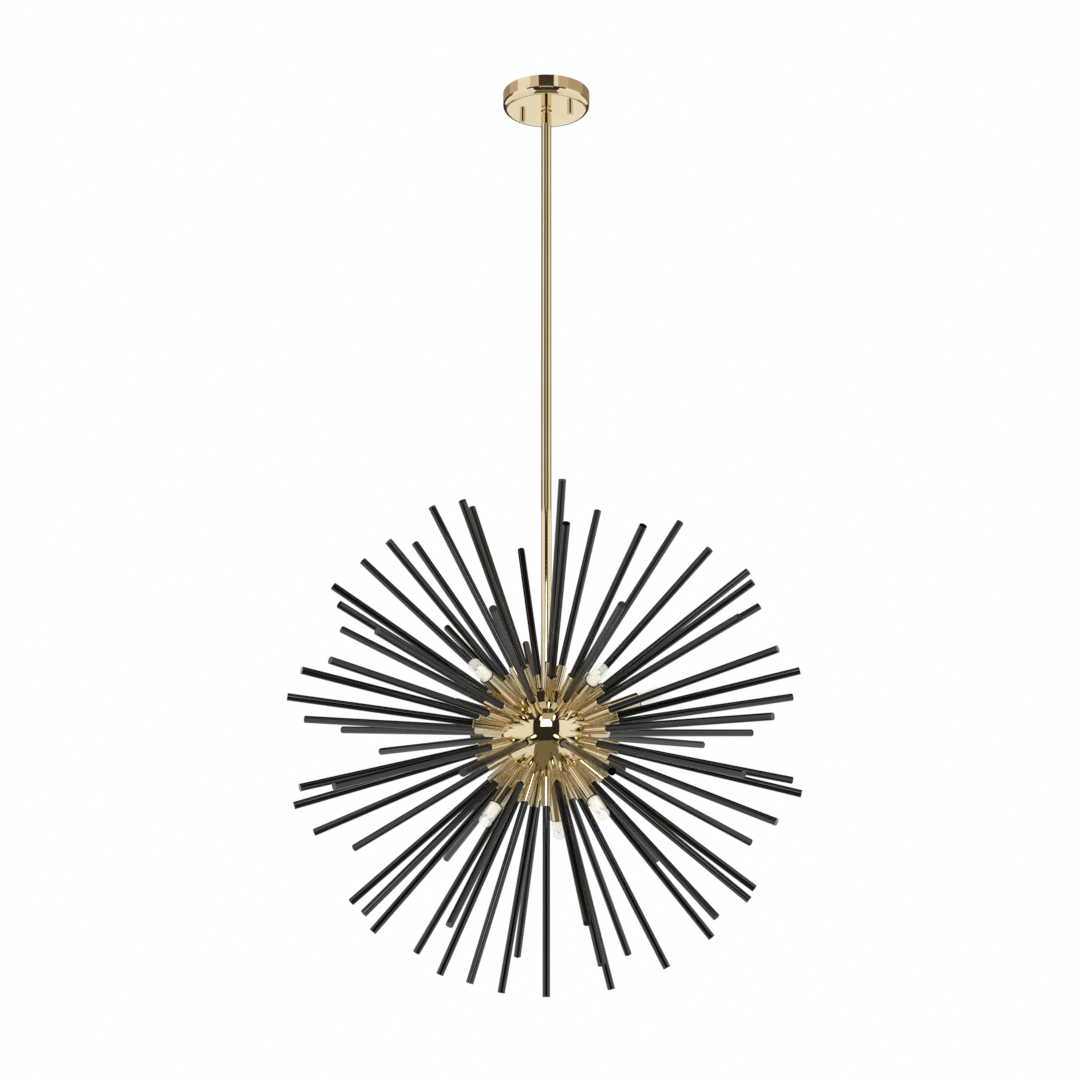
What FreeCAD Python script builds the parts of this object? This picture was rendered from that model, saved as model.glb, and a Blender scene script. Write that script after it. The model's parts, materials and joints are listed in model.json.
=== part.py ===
"""Sputnik chandelier: rods and capsule lamps round a hollow ball that hangs from a ceiling canopy.

Millimetres, +Z up. The origin is the middle of the ceiling mount, in the plane of the ceiling, so
the whole fixture lies below z = 0. The canopy's two cap nuts stand on the X axis.
"""
import FreeCAD, Part
import math
import os

from FreeCAD import Placement, Rotation, Vector

# ---------------------------------------------------------------- driving dimensions: ceiling mount
STRAP_WIDTH = 22.0
STRAP_THICKNESS = 2.5
STRAP_END_GAP = 7.3           # strap's end to the inside of the canopy
STRAP_LEAD_HOLE_RADIUS = 7.0
BOX_SCREW_SPACING = 57.0
BOX_SLOT_LENGTH = 8.0
BOX_SLOT_HALF_WIDTH = 2.3
SLOT_TO_STUD = 4.5            # end of a box slot to the middle of the stud beside it
GROUND_SCREW_X = 15.5
GROUND_SCREW_RADIUS = 1.9
GROUND_HEAD_OVERHANG = 1.9
GROUND_HEAD_HEIGHT = 2.4

CANOPY_RADIUS = 62.5
CANOPY_DEPTH = 26.5
CANOPY_WALL = 1.2
CANOPY_EDGE_RADIUS = 9.0

STUD_RADIUS = 2.0
STUD_END_GAP = 1.0            # stud's end to the bottom of the cap nut's bore
LOCK_NUT_WALL = 1.5           # from the stud to the middle of a flat
LOCK_NUT_HEIGHT = 3.2
CAP_NUT_WALL = 1.9
CAP_NUT_LENGTH = 12.5
CAP_NUT_END = 4.0             # solid end below the bore
CAP_NUT_EDGE_RADIUS = 1.8

# ---------------------------------------------------------------- driving dimensions: supply wires
WIRE_RADIUS = 1.1
WIRE_COUNT = 3
WIRE_SPREAD = 0.04            # between one wire and the next
WIRE_TOP = -5.0
WIRE_END_GAP = 4.0            # wires' lower ends to the bottom of the coupler's bore

# ---------------------------------------------------------------- driving dimensions: ball swivel
NECK_WALL = 2.1
NECK_TILT_ROOM = 3.0          # round the neck in the canopy's middle hole
NECK_GAP = 5.8                # canopy face to the top of the stem coupling
BALL_SHOULDER = 3.9           # ball's radius beyond the neck's
LINER_THICKNESS = 0.9
LINER_HIGH_ANGLE = 100.0      # from straight down
SEAT_LAND = 0.5               # straight part of the seat ring's bore
SEAT_RING_WALL = 5.5
SHANK_STEP = 0.6
SHANK_LENGTH = 12.0

# ---------------------------------------------------------------- driving dimensions: stem
HUB_DROP = 939.0              # ceiling to the middle of the hub ball
STEM_RADIUS = 7.2
STEM_WALL = 1.2
COUPLING_LENGTH = 18.5
COUPLING_SPIGOT_LENGTH = 12.0
COUPLING_END_GAP = 1.0        # shank's end to the bottom of the coupling's socket
EDGE_BREAK = 0.5

# ---------------------------------------------------------------- driving dimensions: hub ball
HUB_RADIUS = 61.0
HUB_WALL = 3.0
HUB_SEAM_HEIGHT = -6.0        # seam plane, from the ball's middle
SEAM_LIP_HEIGHT = 4.0
SEAM_LIP_INSET = 0.3
NIPPLE_IN_STEM = 14.0
NIPPLE_IN_COUPLER = 5.0
HUB_NUT_WALL = 2.5
HUB_NUT_HEIGHT = 4.0
COUPLER_GAP = 3.0             # hub nut to the coupler's top
COUPLER_WALL = 2.0
COUPLER_LENGTH = 30.0
COUPLER_END = 6.0
COUPLER_WINDOW_WIDTH = 7.0
COUPLER_WINDOW_HEIGHT = 12.0
COUPLER_WINDOW_SILL = 2.0     # bottom of the coupler's bore to its window
TIE_ROD_RADIUS = 3.0
TIE_ROD_OVERLAP = 4.0

# ---------------------------------------------------------------- driving dimensions: rods
ROD_REACH = 350.0             # hub middle to rod tip
ROD_RADIUS = 5.05
ROD_WALL = 0.8
ROD_SOCKET_DEPTH = 24.0
PLUG_FLANGE = 1.5
PLUG_SPIGOT_LENGTH = 6.0
SLEEVE_STANDOFF = 39.0        # ball's surface to the sleeve's mouth
SLEEVE_WALL = 1.65
SLEEVE_EDGE_BREAK = 0.4
SHANK_WALL = 0.8
SHANK_REACH = 7.0             # from the seat flat through the ball's wall

# Directions of the rods on the hub, in rows from the lowest to the highest: degrees of latitude,
# then degrees of turn about the stem from +X. The bottom rod, straight down, isn't in a row.
ROD_ROWS = {
    "row_1": [
        (-65.2, -174.3), (-72.7, -141.0), (-65.7, -39.7), (-63.1, 22.4), (-74.4, 45.2),
        (-76.2, 157.4),
    ],
    "row_2": [
        (-49.0, -161.4), (-45.4, -141.7), (-51.8, -102.3), (-52.0, -55.1),
        (-47.2, -2.8), (-50.2, 32.0), (-52.6, 79.1), (-52.6, 122.4), (-53.8, 170.0),
    ],
    "row_3": [
        (-38.6, -174.1), (-40.3, 16.7), (-35.2, 33.1),
    ],
    "row_4": [
        (-20.4, -173.8), (-16.9, -155.1), (-15.4, -138.7), (-17.6, -121.2),
        (-17.9, -86.1), (-17.8, -54.9), (-15.8, -22.1), (-23.5, -2.3), (-14.3, 17.4),
        (-21.1, 50.6), (-22.5, 81.9), (-22.0, 137.9), (-21.9, 167.5),
    ],
    "row_5": [
        (-2.7, -13.9), (-8.5, 34.5), (5.7, 54.2), (5.1, 70.7), (1.2, 92.5),
        (-7.9, 110.4), (3.2, 154.7),
    ],
    "row_6": [
        (6.0, -174.5), (6.8, -152.2), (9.3, -135.1), (22.3, -123.8), (8.8, -120.7),
        (12.9, -106.6), (15.2, -79.7), (16.4, -52.6), (17.6, -21.7), (12.9, -7.9),
        (11.6, 9.7), (10.1, 31.8), (9.2, 111.9), (9.2, 129.7), (6.5, 168.1),
    ],
    "row_7": [
        (28.6, -179.2), (43.7, -161.1), (30.0, -136.6), (38.2, -116.4), (38.0, -63.4),
        (39.4, -41.5), (35.7, -20.8), (29.8, -5.8), (38.0, 14.2), (31.9, 29.4),
        (32.5, 117.3), (35.2, 142.0),
    ],
    "row_8": [
        (63.2, -154.1), (49.8, -97.4), (60.1, -61.7), (58.0, 24.2), (72.0, 69.2),
        (59.3, 123.2), (70.5, 174.9), (54.7, 177.6),
    ],
}

# ---------------------------------------------------------------- driving dimensions: lamps
# Directions of the lamps on the hub, in the same terms as those of the rods.
LAMP_ROWS = {
    "upper": [
        (26.0, -109.6), (21.7, -39.6), (20.0, 22.3), (19.0, 97.4), (18.5, -169.4),
    ],
    "lower": [
        (-52.8, -124.4), (-49.4, -23.2), (-50.5, 101.0),
    ],
}
LEAD_RADIUS = 1.4
LEAD_CLEARANCE = 0.8
LEAD_INNER_END = 24.0         # hub middle to the lead's free end
ARM_WALL = 1.4
ARM_STEP = 0.4
ARM_SHOULDER = 1.4
PIN_SPACING = 9.0
PIN_RADIUS = 0.9
PIN_LENGTH = 9.0
PIN_END_GAP = 1.5
FOOT_MARGIN = 1.8             # pin's middle to the end of the bulb's foot
FOOT_THICKNESS = 4.6
BULB_SHOULDER = 2.5           # end of the foot to the glass's outside
BULB_WALL = 0.9
BULB_FLANGE = 2.0
BULB_SEAT_GAP = 1.0           # holder to the bulb's flange
BULB_STANDOUT = 34.0          # cup's rim to the bulb's tip
BULB_DOME_RADIUS = 6.5
BULB_WAIST_DROP = 11.0        # bulb's tip to the middle of its waist
BULB_WAIST_LENGTH = 5.0
BULB_WAIST_DEPTH = 0.7
CUP_CLEARANCE = 0.8
CUP_WALL = 0.9
CUP_STANDOFF = 15.0           # ball's surface to the underside of the cup
CUP_LENGTH = 56.0
HOLDER_RISE = 24.0            # underside of the cup to the holder
HOLDER_SLOT_DEPTH = 5.0
HOLDER_FLOOR = 2.5

# ---------------------------------------------------------------- named clearances
RUN_GAP = 0.08                # round a shaft that turns in its bore
FIT_GAP = 0.1                 # between pieces that are screwed or pushed together
SLIP_GAP = 0.3                # between pieces that move past each other
WIREWAY_GAP = 0.6             # round the bundle of supply wires
SEAT_MARGIN = 0.35            # flat on the ball beyond the piece that sits on it
CUT_EXTRA = 5.0               # how far a cutting solid runs past what it cuts

# ---------------------------------------------------------------- sizes that follow: ceiling mount
STUD_X = BOX_SCREW_SPACING / 2 + BOX_SLOT_LENGTH / 2 + SLOT_TO_STUD
CANOPY_INNER_RADIUS = CANOPY_RADIUS - CANOPY_WALL
CANOPY_FACE_Z = -CANOPY_DEPTH
CANOPY_FLOOR_Z = CANOPY_FACE_Z + CANOPY_WALL
CAP_NUT_RADIUS = STUD_RADIUS + FIT_GAP + CAP_NUT_WALL
CAP_NUT_BORE_END_Z = CANOPY_FACE_Z - CAP_NUT_LENGTH + CAP_NUT_END

# ---------------------------------------------------------------- sizes that follow: swivel and stem
WIRE_CIRCLE = (2 * WIRE_RADIUS + WIRE_SPREAD) / math.sqrt(3)
WIREWAY_RADIUS = WIRE_CIRCLE + WIRE_RADIUS + WIREWAY_GAP
NECK_RADIUS = WIREWAY_RADIUS + NECK_WALL
SHANK_RADIUS = NECK_RADIUS - SHANK_STEP
CANOPY_HOLE_RADIUS = NECK_RADIUS + NECK_TILT_ROOM
SWIVEL_BALL_RADIUS = NECK_RADIUS + BALL_SHOULDER
LINER_INNER_RADIUS = SWIVEL_BALL_RADIUS + SLIP_GAP
LINER_OUTER_RADIUS = LINER_INNER_RADIUS + LINER_THICKNESS
SEAT_SPHERE_RADIUS = LINER_OUTER_RADIUS + SLIP_GAP
SEAT_RING_RADIUS = SEAT_SPHERE_RADIUS + SEAT_RING_WALL
SEAT_HEIGHT = math.sqrt(SEAT_SPHERE_RADIUS ** 2 - CANOPY_HOLE_RADIUS ** 2)
LINER_LOW_ANGLE = math.degrees(math.acos(SEAT_HEIGHT / SEAT_SPHERE_RADIUS))
COUPLING_TOP_Z = CANOPY_FACE_Z - NECK_GAP
SHANK_END_Z = COUPLING_TOP_Z - SHANK_LENGTH
STEM_TOP_Z = COUPLING_TOP_Z - COUPLING_LENGTH
STEM_BORE_RADIUS = STEM_RADIUS - STEM_WALL
SPIGOT_RADIUS = STEM_BORE_RADIUS - FIT_GAP

# ---------------------------------------------------------------- sizes that follow: ball and rods
HUB_INNER_RADIUS = HUB_RADIUS - HUB_WALL
HUB_NUT_FLATS = 2 * (STEM_BORE_RADIUS + HUB_NUT_WALL)
SLEEVE_RADIUS = ROD_RADIUS + FIT_GAP + SLEEVE_WALL
SLEEVE_SHANK_RADIUS = TIE_ROD_RADIUS + FIT_GAP + SHANK_WALL
SLEEVE_REACH = HUB_RADIUS + SLEEVE_STANDOFF
ROD_FOOT = SLEEVE_REACH - ROD_SOCKET_DEPTH
ROD_BORE_RADIUS = ROD_RADIUS - ROD_WALL

# ---------------------------------------------------------------- sizes that follow: lamps
ARM_BORE_RADIUS = LEAD_RADIUS + LEAD_CLEARANCE
ARM_SHANK_RADIUS = ARM_BORE_RADIUS + ARM_WALL
ARM_SPIGOT_RADIUS = ARM_SHANK_RADIUS + ARM_STEP
ARM_RADIUS = ARM_SHANK_RADIUS + ARM_SHOULDER
FOOT_WIDTH = PIN_SPACING + 2 * FOOT_MARGIN
BULB_RADIUS = FOOT_WIDTH / 2 + BULB_SHOULDER
CUP_BORE_RADIUS = BULB_RADIUS + CUP_CLEARANCE
CUP_RADIUS = CUP_BORE_RADIUS + CUP_WALL
CUP_FOOT = HUB_RADIUS + CUP_STANDOFF
CUP_RIM = CUP_FOOT + CUP_LENGTH
HOLDER_RADIUS = CUP_BORE_RADIUS - SLIP_GAP
HOLDER_FOOT = CUP_FOOT + HOLDER_RISE
PIN_HOLE_DEPTH = PIN_LENGTH + PIN_END_GAP
HOLDER_SLOT_FLOOR = HOLDER_FOOT + HOLDER_FLOOR + PIN_HOLE_DEPTH
HOLDER_TOP = HOLDER_SLOT_FLOOR + HOLDER_SLOT_DEPTH
BULB_FLANGE_FOOT = HOLDER_TOP + BULB_SEAT_GAP
BULB_TIP = CUP_RIM + BULB_STANDOUT

ORIGIN = Vector(0, 0, 0)
X_AXIS = Vector(1, 0, 0)
Y_AXIS = Vector(0, 1, 0)
Z_AXIS = Vector(0, 0, 1)
STRAIGHT_DOWN = (-90.0, 0.0)
STRAIGHT_UP = (90.0, 0.0)
PIVOT = Vector(0, 0, CANOPY_FLOOR_Z + SEAT_LAND + SEAT_HEIGHT)
HUB = Vector(0, 0, -HUB_DROP)
HUB_NUT_TOP_Z = HUB.z + math.sqrt(HUB_INNER_RADIUS ** 2 - HUB_NUT_FLATS ** 2 / 3) - FIT_GAP
HUB_NUT_LOW_Z = HUB_NUT_TOP_Z - HUB_NUT_HEIGHT
COUPLER_TOP_Z = HUB_NUT_LOW_Z - COUPLER_GAP
COUPLER_LOW_Z = COUPLER_TOP_Z - COUPLER_LENGTH
COUPLER_FLOOR_Z = COUPLER_LOW_Z + COUPLER_END


# ---------------------------------------------------------------- helpers
def cylinder(radius, low, high, x=0.0, y=0.0):
    """Upright cylinder between two heights."""
    return Part.makeCylinder(radius, high - low, Vector(x, y, low))


def ball(radius, centre=ORIGIN):
    """Whole sphere about a point."""
    return Part.makeSphere(radius, centre)


def block(width, depth, low, high):
    """Box centred on the Z axis between two heights."""
    return Part.makeBox(width, depth, high - low, Vector(-width / 2, -depth / 2, low))


def tube(outer, inner, low, high):
    """Upright round tube."""
    return cylinder(outer, low, high).cut(cylinder(inner, low - CUT_EXTRA, high + CUT_EXTRA))


def hexagon(flats, low, high):
    """Upright hexagonal prism, sized across its flats."""
    corner = flats / math.sqrt(3)
    turns = [math.radians(60 * k) for k in range(7)]
    corners = [Vector(corner * math.cos(t), corner * math.sin(t), low) for t in turns]
    return Part.Face(Part.makePolygon(corners)).extrude(Vector(0, 0, high - low))


def turned(edges):
    """Solid of revolution about Z from a closed chain of edges in the XZ plane."""
    return Part.Face(Part.Wire(edges)).revolve(ORIGIN, Z_AXIS, 360)


def line(start, end):
    """Straight edge between two (radius, height) points."""
    return Part.makeLine(Vector(start[0], 0, start[1]), Vector(end[0], 0, end[1]))


def arc(start, middle, end):
    """Round edge through three (radius, height) points."""
    points = [Vector(r, 0, z) for r, z in (start, middle, end)]
    return Part.Arc(*points).toShape()


def on_circle(centre, radius, degrees_from_down):
    """(radius, height) point on a circle, by its angle from straight down."""
    angle = math.radians(degrees_from_down)
    return (centre[0] + radius * math.sin(angle), centre[1] - radius * math.cos(angle))


def seat_reach(piece_radius):
    """Distance from the hub's middle to the flat that a round piece sits on."""
    return math.sqrt(HUB_RADIUS ** 2 - (piece_radius + SEAT_MARGIN) ** 2)


def aimed(shape, latitude, turn):
    """Copy of a piece made along +Z from the hub's middle, swung to its direction on the hub."""
    swing = Rotation(Z_AXIS, turn) * Rotation(Y_AXIS, 90 - latitude)
    copy = shape.copy()
    copy.Placement = Placement(HUB, swing)
    return copy


def mirrored_pair(shape):
    """The piece and its mirror image across the YZ plane, for what stands on both studs."""
    return [shape, shape.mirror(ORIGIN, X_AXIS)]


def save(name, pieces):
    """Write one node, from one solid or a group of separate solids."""
    group = pieces if isinstance(pieces, list) else [pieces]
    solids = [solid for piece in group for solid in piece.Solids]
    shape = solids[0] if len(solids) == 1 else Part.makeCompound(solids)
    assert shape.isValid(), name
    shape.exportStep(os.path.join("parts", name + ".step"))
    print(f"{name}: {len(solids)} solids, {sum(s.Volume for s in solids) / 1000:.2f} cm3")


# ---------------------------------------------------------------- ceiling mount
def mounting_strap():
    """Flat bar under the ceiling box: slots for its screws, stud holes, lead hole, earth hole."""
    low, past = -STRAP_THICKNESS, -STRAP_THICKNESS - CUT_EXTRA
    bar = block(2 * (CANOPY_INNER_RADIUS - STRAP_END_GAP), STRAP_WIDTH, low, 0)
    cuts = [cylinder(STRAP_LEAD_HOLE_RADIUS, past, CUT_EXTRA)]
    cuts.append(cylinder(GROUND_SCREW_RADIUS + FIT_GAP, past, CUT_EXTRA, GROUND_SCREW_X))
    straight = BOX_SLOT_LENGTH / 2 - BOX_SLOT_HALF_WIDTH
    for side in (-1, 1):
        cuts.append(cylinder(STUD_RADIUS + FIT_GAP, past, CUT_EXTRA, side * STUD_X))
        middle = side * BOX_SCREW_SPACING / 2
        for end in (-straight, straight):
            cuts.append(cylinder(BOX_SLOT_HALF_WIDTH, past, CUT_EXTRA, middle + end))
        slot = block(2 * straight, 2 * BOX_SLOT_HALF_WIDTH, past, CUT_EXTRA)
        cuts.append(slot.translated(Vector(middle, 0, 0)))
    return bar.cut(cuts)


def canopy_studs():
    """Two studs from the strap down into the cap nuts."""
    return mirrored_pair(cylinder(STUD_RADIUS, CAP_NUT_BORE_END_Z + STUD_END_GAP, 0, STUD_X))


def stud_lock_nuts():
    """Two hex nuts that lock the studs against the strap."""
    high = -STRAP_THICKNESS
    low = high - LOCK_NUT_HEIGHT
    nut = hexagon(2 * (STUD_RADIUS + LOCK_NUT_WALL), low, high)
    nut = nut.cut(cylinder(STUD_RADIUS + FIT_GAP, low - CUT_EXTRA, CUT_EXTRA))
    return mirrored_pair(nut.translated(Vector(STUD_X, 0, 0)))


def ground_screw():
    """Earth screw with a flat head under the strap."""
    top = -STRAP_THICKNESS
    head_radius = GROUND_SCREW_RADIUS + GROUND_HEAD_OVERHANG
    head = cylinder(head_radius, top - GROUND_HEAD_HEIGHT, top, GROUND_SCREW_X)
    return head.fuse(cylinder(GROUND_SCREW_RADIUS, top, 0, GROUND_SCREW_X)).removeSplitter()


def canopy():
    """Drawn cup with a rounded edge, open to the ceiling."""
    corner = (CANOPY_RADIUS - CANOPY_EDGE_RADIUS, CANOPY_FACE_Z + CANOPY_EDGE_RADIUS)
    outer = [on_circle(corner, CANOPY_EDGE_RADIUS, a) for a in (0, 45, 90)]
    inner = [on_circle(corner, CANOPY_EDGE_RADIUS - CANOPY_WALL, a) for a in (90, 45, 0)]
    cup = turned([
        line((CANOPY_HOLE_RADIUS, CANOPY_FACE_Z), outer[0]),
        arc(*outer),
        line(outer[2], (CANOPY_RADIUS, 0)),
        line((CANOPY_RADIUS, 0), (CANOPY_INNER_RADIUS, 0)),
        line((CANOPY_INNER_RADIUS, 0), inner[0]),
        arc(*inner),
        line(inner[2], (CANOPY_HOLE_RADIUS, CANOPY_FLOOR_Z)),
        line((CANOPY_HOLE_RADIUS, CANOPY_FLOOR_Z), (CANOPY_HOLE_RADIUS, CANOPY_FACE_Z)),
    ])
    hole = cylinder(STUD_RADIUS + SLIP_GAP, CANOPY_FACE_Z - CUT_EXTRA, 0, STUD_X)
    return cup.cut(mirrored_pair(hole))


def canopy_nuts():
    """Two long cylindrical cap nuts with rounded lower ends, blind bored for the studs."""
    low = CANOPY_FACE_Z - CAP_NUT_LENGTH
    corner = (CAP_NUT_RADIUS - CAP_NUT_EDGE_RADIUS, low + CAP_NUT_EDGE_RADIUS)
    edge = [on_circle(corner, CAP_NUT_EDGE_RADIUS, a) for a in (0, 45, 90)]
    nut = turned([
        line((0, low), edge[0]),
        arc(*edge),
        line(edge[2], (CAP_NUT_RADIUS, CANOPY_FACE_Z)),
        line((CAP_NUT_RADIUS, CANOPY_FACE_Z), (0, CANOPY_FACE_Z)),
        line((0, CANOPY_FACE_Z), (0, low)),
    ])
    nut = nut.cut(cylinder(STUD_RADIUS + FIT_GAP, CAP_NUT_BORE_END_Z, CUT_EXTRA))
    return mirrored_pair(nut.translated(Vector(STUD_X, 0, 0)))


# ---------------------------------------------------------------- ball swivel
def swivel_seat():
    """Turned ring on the canopy's floor with a hollow spherical seat."""
    ring_blank = cylinder(SEAT_RING_RADIUS, CANOPY_FLOOR_Z, PIVOT.z)
    hole = cylinder(CANOPY_HOLE_RADIUS, CANOPY_FLOOR_Z - CUT_EXTRA, PIVOT.z + CUT_EXTRA)
    return ring_blank.cut([ball(SEAT_SPHERE_RADIUS, PIVOT), hole])


def swivel_liner():
    """Plastic slip ring: a zone of a thin spherical shell between the seat and the ball."""
    centre = (0, PIVOT.z)
    angles = (LINER_LOW_ANGLE, (LINER_LOW_ANGLE + LINER_HIGH_ANGLE) / 2, LINER_HIGH_ANGLE)
    inner = [on_circle(centre, LINER_INNER_RADIUS, a) for a in angles]
    outer = [on_circle(centre, LINER_OUTER_RADIUS, a) for a in angles]
    sides = [arc(*inner), arc(*reversed(outer))]
    ends = [line(inner[2], outer[2]), line(outer[0], inner[0])]
    return turned([sides[0], ends[0], sides[1], ends[1]])


def swivel_ball():
    """Bored ball with a narrow neck and a shank that turns in the coupling."""
    body = ball(SWIVEL_BALL_RADIUS, PIVOT)
    body = body.fuse(cylinder(NECK_RADIUS, COUPLING_TOP_Z, PIVOT.z))
    body = body.fuse(cylinder(SHANK_RADIUS, SHANK_END_Z, COUPLING_TOP_Z))
    bore = cylinder(WIREWAY_RADIUS, SHANK_END_Z - CUT_EXTRA, PIVOT.z + SWIVEL_BALL_RADIUS + CUT_EXTRA)
    return body.cut(bore).removeSplitter()


# ---------------------------------------------------------------- stem
def stem_coupling():
    """Collar under the neck, with a spigot that is screwed into the stem."""
    spigot_end = STEM_TOP_Z - COUPLING_SPIGOT_LENGTH
    collar = cylinder(STEM_RADIUS, STEM_TOP_Z, COUPLING_TOP_Z)
    rims = [edge for edge in collar.Edges if isinstance(edge.Curve, Part.Circle)]
    collar = collar.makeChamfer(EDGE_BREAK, rims)
    collar = collar.fuse(cylinder(SPIGOT_RADIUS, spigot_end, STEM_TOP_Z + EDGE_BREAK))
    socket_end = SHANK_END_Z - COUPLING_END_GAP
    socket = cylinder(SHANK_RADIUS + RUN_GAP, socket_end, COUPLING_TOP_Z + CUT_EXTRA)
    bore = cylinder(WIREWAY_RADIUS, spigot_end - CUT_EXTRA, COUPLING_TOP_Z)
    return collar.cut([socket, bore]).removeSplitter()


def stem():
    """Long round tube from the coupling to the flat on top of the hub."""
    return tube(STEM_RADIUS, STEM_BORE_RADIUS, HUB.z + seat_reach(STEM_RADIUS), STEM_TOP_Z)


def stem_foot_nipple():
    """Threaded nipple that joins the stem to the hub."""
    low = COUPLER_TOP_Z - NIPPLE_IN_COUPLER
    return tube(SPIGOT_RADIUS, WIREWAY_RADIUS, low, HUB.z + HUB_RADIUS + NIPPLE_IN_STEM)


# ---------------------------------------------------------------- hub ball
def hub_cutters():
    """Holes and seat flats for everything that stands on the ball, made in place."""
    def hole_and_flat(hole_radius, piece_radius):
        past = HUB_RADIUS + CUT_EXTRA
        deep = cylinder(hole_radius, HUB_INNER_RADIUS - CUT_EXTRA, past)
        return [deep, cylinder(piece_radius + SEAT_MARGIN + FIT_GAP, seat_reach(piece_radius), past)]

    cutters = []
    for cutter in hole_and_flat(SLEEVE_SHANK_RADIUS + FIT_GAP, SLEEVE_RADIUS):
        cutters += [aimed(cutter, *way) for way in rod_directions()]
    for cutter in hole_and_flat(ARM_SHANK_RADIUS + FIT_GAP, ARM_RADIUS):
        cutters += [aimed(cutter, *way) for way in lamp_directions()]
    for cutter in hole_and_flat(STEM_BORE_RADIUS, STEM_RADIUS):
        cutters.append(aimed(cutter, *STRAIGHT_UP))
    return cutters


def hub_shells():
    """Upper and lower halves of the hollow ball, with a lip inside the seam."""
    reach = HUB_RADIUS + CUT_EXTRA
    hollow = ball(HUB_RADIUS, HUB).cut(ball(HUB_INNER_RADIUS, HUB))
    seam = HUB.z + HUB_SEAM_HEIGHT
    upper_space = cylinder(reach, seam, HUB.z + reach)
    lip_outer = math.sqrt((HUB_RADIUS - HUB_WALL / 2) ** 2 - HUB_SEAM_HEIGHT ** 2)
    lip_inner = HUB_INNER_RADIUS - SEAM_LIP_INSET
    lip = tube(lip_outer, lip_inner, seam - SEAM_LIP_HEIGHT, seam + SEAM_LIP_HEIGHT)
    rebate = cylinder(lip_outer + FIT_GAP, seam - CUT_EXTRA, seam + SEAM_LIP_HEIGHT + FIT_GAP)
    cutters = hub_cutters()
    upper = hollow.common(upper_space).cut([rebate] + cutters)
    lower = hollow.cut(upper_space).fuse(lip).removeSplitter().cut(cutters)
    return upper, lower


def hub_top_nut():
    """Hex nut on the nipple that holds the upper half to the stem."""
    nut = hexagon(HUB_NUT_FLATS, HUB_NUT_LOW_Z, HUB_NUT_TOP_Z)
    return nut.cut(cylinder(STEM_BORE_RADIUS, HUB_NUT_LOW_Z - CUT_EXTRA, HUB_NUT_TOP_Z + CUT_EXTRA))


def hub_tie_coupler():
    """Windowed coupler between the nipple and the tie rod, where the wires leave the stem."""
    coupler_radius = STEM_BORE_RADIUS + COUPLER_WALL
    body = cylinder(coupler_radius, COUPLER_LOW_Z, COUPLER_TOP_Z)
    hollow = cylinder(STEM_BORE_RADIUS, COUPLER_FLOOR_Z, COUPLER_TOP_Z + CUT_EXTRA)
    thread = cylinder(TIE_ROD_RADIUS + FIT_GAP, COUPLER_LOW_Z - CUT_EXTRA, COUPLER_TOP_Z)
    window_low = COUPLER_FLOOR_Z + COUPLER_WINDOW_SILL
    window_high = window_low + COUPLER_WINDOW_HEIGHT
    across = 2 * (coupler_radius + CUT_EXTRA)
    window = block(across, COUPLER_WINDOW_WIDTH, window_low, window_high)
    return body.cut([hollow, thread, window])


def hub_tie_rod():
    """Threaded rod that pulls the lower half up against the upper one."""
    shank_end = HUB.z - seat_reach(SLEEVE_RADIUS) + SHANK_REACH
    return cylinder(TIE_ROD_RADIUS, shank_end - TIE_ROD_OVERLAP, COUPLER_FLOOR_Z)


# ---------------------------------------------------------------- rods
def rod_directions():
    """Every rod's direction, the bottom one included."""
    return [STRAIGHT_DOWN] + [way for row in ROD_ROWS.values() for way in row]


def sleeve():
    """Turned bush: a bore for the rod outside, a shank through the ball's wall inside."""
    foot = seat_reach(SLEEVE_RADIUS)
    body = cylinder(SLEEVE_RADIUS, foot, SLEEVE_REACH)
    rim = [edge for edge in body.Edges if edge.BoundBox.ZMin > SLEEVE_REACH - EDGE_BREAK]
    body = body.makeChamfer(SLEEVE_EDGE_BREAK, rim)
    body = body.fuse(cylinder(SLEEVE_SHANK_RADIUS, foot - SHANK_REACH, foot))
    socket = cylinder(ROD_RADIUS + FIT_GAP, ROD_FOOT, SLEEVE_REACH + CUT_EXTRA)
    return body.cut(socket).removeSplitter()


def bottom_sleeve():
    """The same bush for the bottom rod, with a blind hole that takes the tie rod."""
    shank_end = seat_reach(SLEEVE_RADIUS) - SHANK_REACH
    hole_end = shank_end + TIE_ROD_OVERLAP + FIT_GAP
    return sleeve().cut(cylinder(TIE_ROD_RADIUS + FIT_GAP, shank_end - CUT_EXTRA, hole_end))


def rod():
    """Round tube from the bottom of the sleeve's bore to the plug's flange."""
    return tube(ROD_RADIUS, ROD_BORE_RADIUS, ROD_FOOT, ROD_REACH - PLUG_FLANGE)


def rod_end_plug():
    """Flat plug that closes the rod's outer end."""
    flange_low = ROD_REACH - PLUG_FLANGE
    flange = cylinder(ROD_RADIUS, flange_low, ROD_REACH)
    spigot = cylinder(ROD_BORE_RADIUS - FIT_GAP, flange_low - PLUG_SPIGOT_LENGTH, flange_low)
    return flange.fuse(spigot).removeSplitter()


# ---------------------------------------------------------------- lamps
def lamp_directions():
    """Every lamp's direction, upper row first."""
    return [way for row in LAMP_ROWS.values() for way in row]


def lamp_arm():
    """Bored neck from the ball to the cup, with a shank at one end and a spigot at the other."""
    foot = seat_reach(ARM_RADIUS)
    arm = cylinder(ARM_RADIUS, foot, CUP_FOOT)
    arm = arm.fuse(cylinder(ARM_SHANK_RADIUS, foot - SHANK_REACH, foot))
    arm = arm.fuse(cylinder(ARM_SPIGOT_RADIUS, CUP_FOOT, HOLDER_FOOT))
    bore = cylinder(ARM_BORE_RADIUS, foot - SHANK_REACH - CUT_EXTRA, HOLDER_FOOT + CUT_EXTRA)
    return arm.cut(bore).removeSplitter()


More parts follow.
